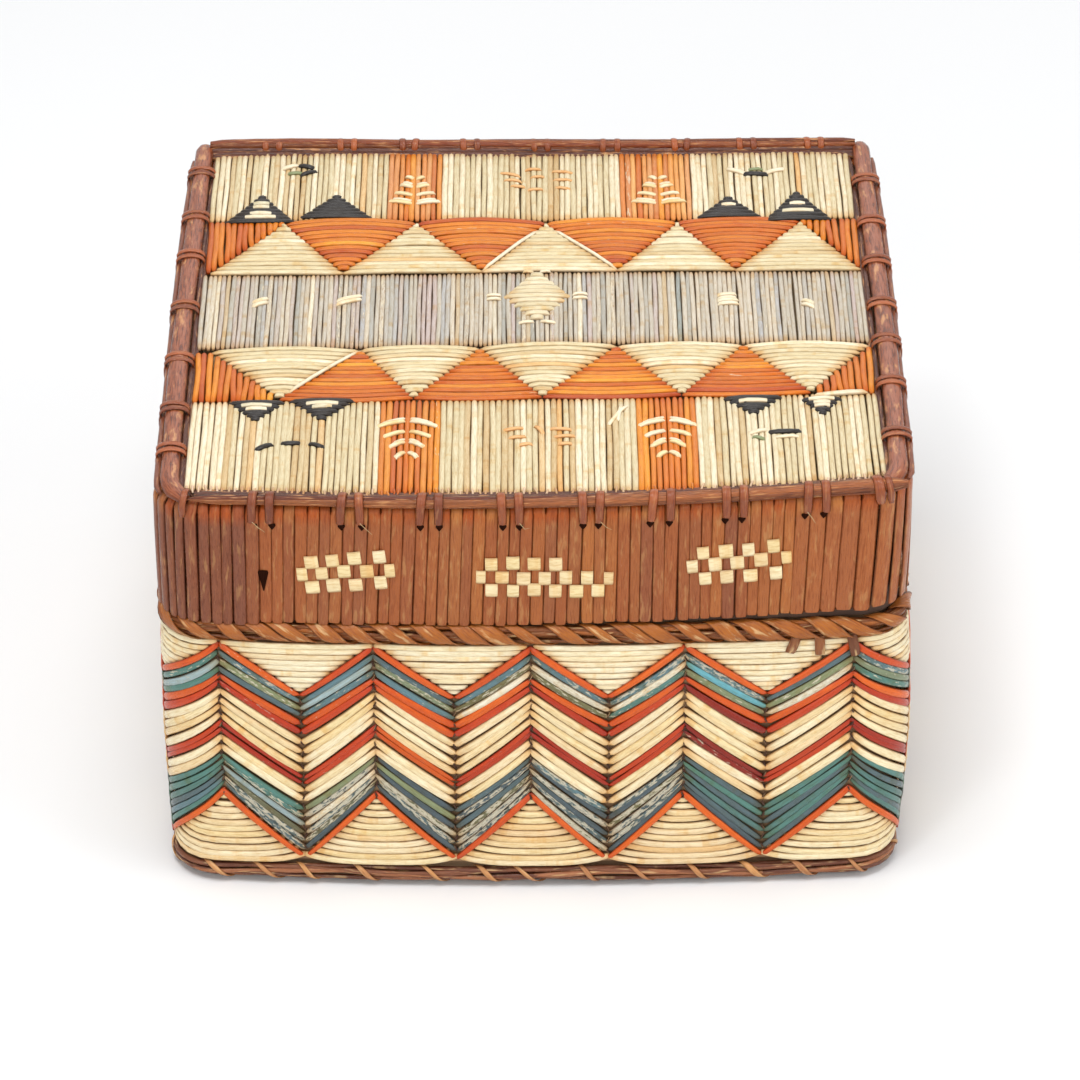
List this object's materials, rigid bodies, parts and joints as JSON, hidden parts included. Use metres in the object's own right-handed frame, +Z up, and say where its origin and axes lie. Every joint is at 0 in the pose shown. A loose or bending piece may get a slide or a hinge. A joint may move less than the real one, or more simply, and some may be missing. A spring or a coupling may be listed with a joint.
{
  "type": "quill box",
  "caption": "Square bark box covered with dyed quills in chevrons, with a lift-off quilled lid, splint sides and laced rods at its rims.",
  "frame": {"origin": "centre of the flat underside that the box stands on", "axes": "+Z up, +X to the right of the front, and the front with its bowed edge faces -Y"},
  "size_m": [0.1744, 0.1658, 0.1091],
  "materials": {
    "bark": "matte",
    "lining": "matte",
    "splint": "satin",
    "lid_rod": "gloss",
    "body_rod": "satin",
    "base_rod": "satin",
    "lashing": "gloss",
    "root": "satin",
    "cream": "satin",
    "lid_cream": "satin",
    "orange": "satin",
    "lid_orange": "satin",
    "red": "satin",
    "teal": "satin",
    "slate": "satin",
    "pale_blue": "satin"
  },
  "bodies": {
    "base": {"base_panel": "bark", "base_lining": "lining", "body_wall": "bark", "neck": "lining", "base_rod": "base_rod", "base_lacing": "root", "body_rim_rod": "body_rod", "body_rim_lacing": "root", "lower_orange_edge": "orange", "lower_blue_chevron": "slate", "lower_cream_chevron": "cream", "red_chevron": "red", "cream_chevron": "cream", "orange_chevron": "orange", "upper_blue_chevron": "teal", "upper_orange_edge": "orange", "lower_cream_points": "cream", "upper_cream_points": "cream"},
    "lid": {"lid_wall": "bark", "lid_lining": "lining", "lid_board": "bark", "lid_rod_front": "lid_rod", "lid_lashing_front": "lashing", "lid_rod_right": "lid_rod", "lid_lashing_right": "lashing", "lid_rod_rear": "lid_rod", "lid_lashing_rear": "lashing", "lid_rod_left": "lid_rod", "lid_lashing_left": "lashing", "lid_splints": "splint", "rear_cream_left": "lid_cream", "rear_orange_left": "lid_orange", "rear_cream_middle": "lid_cream", "rear_orange_right": "lid_orange", "rear_cream_right": "lid_cream", "rear_cream_points": "lid_cream", "rear_orange_ground": "lid_orange", "front_cream_left": "lid_cream", "front_orange_left": "lid_orange", "front_cream_middle": "lid_cream", "front_orange_right": "lid_orange", "front_cream_right": "lid_cream", "front_cream_points": "lid_cream", "front_orange_ground": "lid_orange", "blue_band": "pale_blue"}
  },
  "joints": [
    {"name": "lid_lift", "type": "slide", "parent": "base", "child": "lid", "axis": [0, 0, 1], "range_m": [0, 0.045]}
  ]
}
